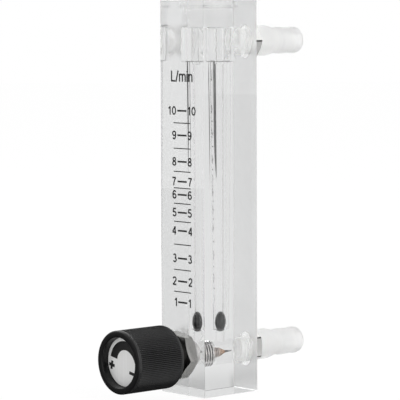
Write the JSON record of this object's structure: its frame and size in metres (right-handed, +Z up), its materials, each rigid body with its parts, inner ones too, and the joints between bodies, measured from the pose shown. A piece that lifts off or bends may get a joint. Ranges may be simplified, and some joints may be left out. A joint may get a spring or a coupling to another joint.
{
  "type": "gas flow meter",
  "caption": "Panel gas flow meter: clear block with a tapered tube and ball float, printed flow scale, needle valve with fluted knob, barbed hose fittings.",
  "frame": {"origin": "centre of the acrylic block's bottom face", "axes": "+Z up along the flow tube, the printed scale and the knob face -Y, the hose barbs point to +Y, +X is to the right of a reader of the scale"},
  "size_m": [0.0196, 0.074, 0.12],
  "materials": {
    "clear_acrylic": "polished, clear",
    "milky_nylon": "smooth, translucent white",
    "nickel_plate": "bright nickel plate on brass",
    "steel": "bright zinc plate",
    "brass": "turned",
    "black_rubber": "smooth moulded ring",
    "clear_silicone": "smooth translucent ring",
    "black_plastic": "satin moulded",
    "disc_metal": "satin",
    "float_black": "smooth",
    "ink": "printed"
  },
  "bodies": {
    "meter_body": {"acrylic_block": "clear_acrylic", "top_plug": "clear_acrylic", "top_plug_seal": "clear_silicone", "outlet_fitting": "milky_nylon", "outlet_seal": "clear_silicone", "outlet_washer": "milky_nylon", "outlet_nut": "nickel_plate", "inlet_fitting": "milky_nylon", "inlet_seal": "clear_silicone", "inlet_washer": "milky_nylon", "inlet_nut": "nickel_plate", "valve_body": "nickel_plate", "valve_body_seal": "clear_silicone", "scale_marks": "ink"},
    "stem_seal": {"stem_seal_ring": "black_rubber"},
    "valve_stem": {"needle_stem": "brass", "knob": "black_plastic", "knob_disc": "disc_metal", "knob_screw": "steel"},
    "float": {"float_ball": "float_black"}
  },
  "joints": [
    {"name": "float_slide", "type": "slide", "parent": "meter_body", "child": "float", "axis": [0, 0, 1], "range_m": [0, 0.0757]},
    {"name": "stem_advance", "type": "slide", "parent": "meter_body", "child": "stem_seal", "axis": [0, 1, 0], "range_m": [-0.00226, 0.00113]},
    {"name": "knob_turn", "type": "hinge", "parent": "stem_seal", "child": "valve_stem", "pos_m": [0, 0, 0.0125], "axis": [0, 1, 0], "range_deg": [-1080, 540]}
  ],
  "couplings": [
    {"joint": "stem_advance", "follows": "knob_turn", "m_per_rad": 0.00011937}
  ]
}
